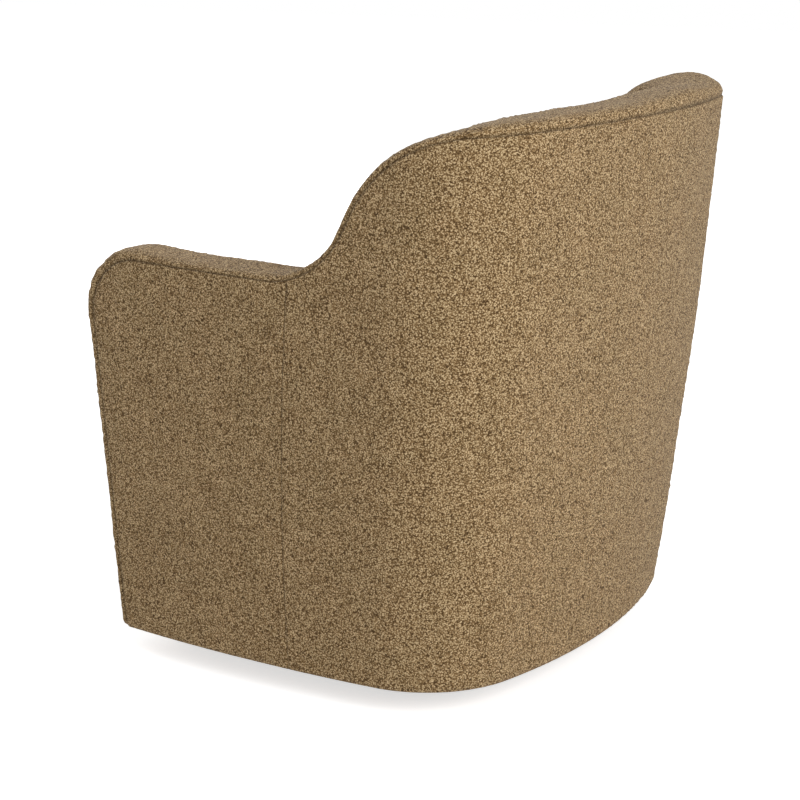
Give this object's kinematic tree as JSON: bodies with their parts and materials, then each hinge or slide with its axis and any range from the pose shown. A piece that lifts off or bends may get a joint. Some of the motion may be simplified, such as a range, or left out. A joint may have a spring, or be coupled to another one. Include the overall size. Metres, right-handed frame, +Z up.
{
  "type": "swivel rocker",
  "caption": "Upholstered tub armchair with a swept back that turns on a hidden floor ring and rocks on a spring-loaded pivot.",
  "frame": {"origin": "centre of the floor ring on the floor, on the swivel axis, which is the middle of the bounding box's bottom", "axes": "+Z up, the sitter faces -Y, the sitter's left is +X"},
  "size_m": [0.8118, 0.7603, 0.8563],
  "materials": {
    "upholstery": "chunky boucle weave, tan",
    "deck_cloth": "plain woven deck cloth over felt",
    "dust_cloth": "black non-woven cloth",
    "webbing": "elastic webbing",
    "hardwood": "sawn hardwood and plywood",
    "black_steel": "satin black",
    "bright_steel": "zinc plated",
    "nylon": "moulded nylon",
    "rubber_black": "moulded rubber"
  },
  "bodies": {
    "base": {"floor_glides": "nylon", "base_ring": "black_steel", "base_arms": "black_steel", "hub_plate": "black_steel", "lower_race": "bright_steel", "king_bolt": "bright_steel", "king_nut": "bright_steel"},
    "ball_cage": {"ball_cage": "nylon", "bearing_balls": "bright_steel"},
    "swivel": {"upper_race": "bright_steel", "swivel_plate": "black_steel", "ear_left": "black_steel", "ear_right": "black_steel", "spring_seats": "black_steel", "coil_springs": "bright_steel", "pivot_bolts": "bright_steel", "stop_posts": "black_steel", "stop_pads": "rubber_black"},
    "chair": {"rocker_rail_left": "black_steel", "rocker_rail_right": "black_steel", "pivot_bushes": "nylon", "seat_bar_front": "black_steel", "seat_bar_rear": "black_steel", "seat_screws": "bright_steel", "dust_cover": "dust_cloth", "cross_rail_front": "hardwood", "cross_rail_rear": "hardwood", "seat_board_left": "hardwood", "seat_board_right": "hardwood", "front_seat_rail": "hardwood", "rear_seat_rail": "hardwood", "corner_blocks": "hardwood", "seat_webbing": "webbing", "deck_pad": "deck_cloth", "hem_rail_left": "hardwood", "hem_rail_right": "hardwood", "hem_rail_front": "hardwood", "hem_rail_rear": "hardwood", "front_post_left": "hardwood", "front_post_right": "hardwood", "rear_post_left": "hardwood", "rear_post_right": "hardwood", "arm_rail_left": "hardwood", "arm_rail_right": "hardwood", "back_top_rail": "hardwood", "lumbar_rail": "hardwood", "back_posts": "hardwood", "back_webbing": "webbing", "inside_arm_left": "upholstery", "inside_arm_right": "upholstery", "inside_back": "upholstery", "seat_cushion": "upholstery", "outside_arm_left": "upholstery", "outside_arm_right": "upholstery", "outside_back": "upholstery", "front_panel": "upholstery", "arm_band_left": "upholstery", "arm_band_right": "upholstery", "back_band": "upholstery"}
  },
  "joints": [
    {"name": "swivel_turn", "type": "hinge", "parent": "base", "child": "swivel", "pos_m": [0, 0, 0.035], "axis": [0, 0, 1], "continuous": true},
    {"name": "cage_turn", "type": "hinge", "parent": "base", "child": "ball_cage", "pos_m": [0, 0, 0.031], "axis": [0, 0, 1], "continuous": true},
    {"name": "rock", "type": "hinge", "parent": "swivel", "child": "chair", "pos_m": [0, 0, 0.1], "axis": [1, 0, 0], "range_deg": [-6.5, 5], "stiffness_Nm_per_rad": 800, "deforming": ["coil_springs"]}
  ],
  "couplings": [
    {"joint": "cage_turn", "follows": "swivel_turn", "ratio": 0.5}
  ]
}
